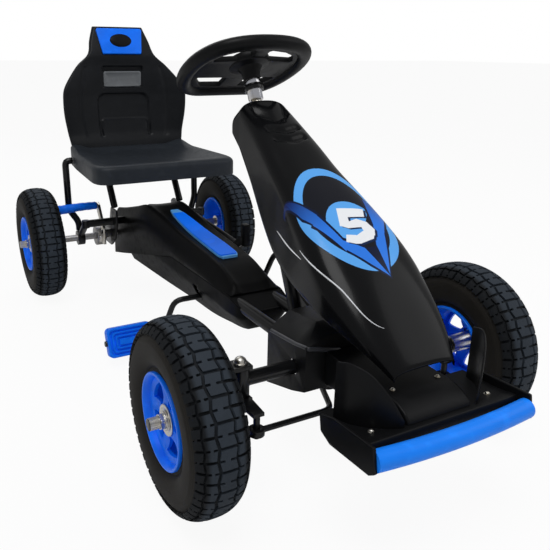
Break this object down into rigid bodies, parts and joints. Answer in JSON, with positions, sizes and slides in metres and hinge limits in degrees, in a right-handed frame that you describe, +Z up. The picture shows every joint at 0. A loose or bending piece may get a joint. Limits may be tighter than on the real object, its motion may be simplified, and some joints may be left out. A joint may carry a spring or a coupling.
{
  "type": "pedal go kart",
  "caption": "Child's pedal go kart with a bucket seat, steered front wheels, a long sloping hood and a chain drive to the rear axle.",
  "frame": {"origin": "on the floor, midway between the bumper's front and the rear tyres' back, on the kart's middle plane", "axes": "+Z up, -Y the way the kart drives, -X the driver's right hand"},
  "size_m": [0.59, 1.2398, 0.623],
  "materials": {
    "black_plastic": "satin",
    "gloss_black_plastic": "gloss",
    "blue_plastic": "gloss",
    "blue_rim": "gloss",
    "black_paint": "gloss",
    "tyre_rubber": "matte",
    "zinc_steel": "satin",
    "plain_steel": "satin"
  },
  "bodies": {
    "chassis": {"bumper_tube": "blue_plastic", "chain_case": "black_plastic", "chain_cover": "black_plastic", "column_bush": "black_plastic", "column_tube": "black_paint", "cover_insert": "blue_plastic", "crank_bearing_left": "black_paint", "crank_bearing_right": "black_paint", "drive_chain": "plain_steel", "end_plate_left": "black_plastic", "end_plate_right": "black_plastic", "front_beam": "black_paint", "front_housing": "black_plastic", "front_wing": "black_plastic", "headrest_panel": "blue_plastic", "hood": "gloss_black_plastic", "rail_left": "black_paint", "rail_right": "black_paint", "rear_frame": "black_paint", "seat_leg_front_left": "black_paint", "seat_leg_front_right": "black_paint", "seat_leg_rear_left": "black_paint", "seat_leg_rear_right": "black_paint", "seat_shell": "black_plastic", "side_rail": "black_paint"},
    "steering": {"steering_column": "zinc_steel", "steering_wheel": "black_plastic"},
    "rear_axle": {"rear_axle": "plain_steel", "rear_sprocket": "plain_steel", "brake_drum": "plain_steel", "rear_left_tyre": "tyre_rubber", "rear_left_rim": "blue_rim", "rear_left_hub": "zinc_steel", "rear_left_nut": "zinc_steel", "rear_right_tyre": "tyre_rubber", "rear_right_rim": "blue_rim", "rear_right_hub": "zinc_steel", "rear_right_nut": "zinc_steel"},
    "crank": {"crank_rod": "black_paint", "chainring": "plain_steel"},
    "pedal_left": {"pedal_left": "blue_plastic"},
    "pedal_right": {"pedal_right": "blue_plastic"},
    "brake": {"brake_lever": "zinc_steel", "brake_grip": "blue_plastic"},
    "side_lever": {"side_lever": "black_plastic"},
    "knuckle_left": {"knuckle_left": "black_paint", "kingpin_left": "zinc_steel", "front_left_nut": "zinc_steel"},
    "tie_rod_left": {"tie_rod_left": "black_paint"},
    "front_wheel_left": {"front_left_tyre": "tyre_rubber", "front_left_rim": "blue_rim", "front_left_hub": "zinc_steel"},
    "knuckle_right": {"knuckle_right": "black_paint", "kingpin_right": "zinc_steel", "front_right_nut": "zinc_steel"},
    "tie_rod_right": {"tie_rod_right": "black_paint"},
    "front_wheel_right": {"front_right_tyre": "tyre_rubber", "front_right_rim": "blue_rim", "front_right_hub": "zinc_steel"}
  },
  "joints": [
    {"name": "steering_turn", "type": "hinge", "parent": "chassis", "child": "steering", "pos_m": [0, -0.094, 0.554], "axis": [0, 0.4226, 0.9063], "range_deg": [-28, 28]},
    {"name": "knuckle_left_turn", "type": "hinge", "parent": "chassis", "child": "knuckle_left", "pos_m": [0.162, -0.378, 0.16], "axis": [0, 0, 1], "range_deg": [-28, 28]},
    {"name": "tie_rod_left_turn", "type": "hinge", "parent": "knuckle_left", "child": "tie_rod_left", "pos_m": [0.162, -0.424, 0.109], "axis": [0, 0, 1], "range_deg": [-28, 28]},
    {"name": "front_wheel_left_spin", "type": "hinge", "parent": "knuckle_left", "child": "front_wheel_left", "pos_m": [0.243, -0.378, 0.13], "axis": [1, 0, 0], "continuous": true},
    {"name": "knuckle_right_turn", "type": "hinge", "parent": "chassis", "child": "knuckle_right", "pos_m": [-0.162, -0.378, 0.16], "axis": [0, 0, 1], "range_deg": [-28, 28]},
    {"name": "tie_rod_right_turn", "type": "hinge", "parent": "knuckle_right", "child": "tie_rod_right", "pos_m": [-0.162, -0.424, 0.109], "axis": [0, 0, 1], "range_deg": [-28, 28]},
    {"name": "front_wheel_right_spin", "type": "hinge", "parent": "knuckle_right", "child": "front_wheel_right", "pos_m": [-0.243, -0.378, 0.13], "axis": [1, 0, 0], "continuous": true},
    {"name": "rear_axle_spin", "type": "hinge", "parent": "chassis", "child": "rear_axle", "pos_m": [0, 0.49, 0.13], "axis": [1, 0, 0], "continuous": true},
    {"name": "crank_spin", "type": "hinge", "parent": "chassis", "child": "crank", "pos_m": [0, 0.018, 0.12], "axis": [1, 0, 0], "continuous": true},
    {"name": "pedal_left_spin", "type": "hinge", "parent": "crank", "child": "pedal_left", "pos_m": [0.177, -0.00936, 0.19518], "axis": [1, 0, 0], "continuous": true},
    {"name": "pedal_right_spin", "type": "hinge", "parent": "crank", "child": "pedal_right", "pos_m": [-0.177, 0.04536, 0.04482], "axis": [1, 0, 0], "continuous": true},
    {"name": "brake_pull", "type": "hinge", "parent": "chassis", "child": "brake", "pos_m": [-0.104, 0.445, 0.15], "axis": [1, 0, 0], "range_deg": [0, 10]},
    {"name": "side_lever_turn", "type": "hinge", "parent": "chassis", "child": "side_lever", "pos_m": [0.0793, 0.118, 0.178], "axis": [1, 0, 0], "range_deg": [-12, 12]}
  ],
  "couplings": [
    {"joint": "knuckle_left_turn", "follows": "steering_turn", "ratio": 1},
    {"joint": "tie_rod_left_turn", "follows": "steering_turn", "ratio": -1},
    {"joint": "knuckle_right_turn", "follows": "steering_turn", "ratio": 1},
    {"joint": "tie_rod_right_turn", "follows": "steering_turn", "ratio": -1},
    {"joint": "crank_spin", "follows": "rear_axle_spin", "ratio": 0.8519}
  ]
}
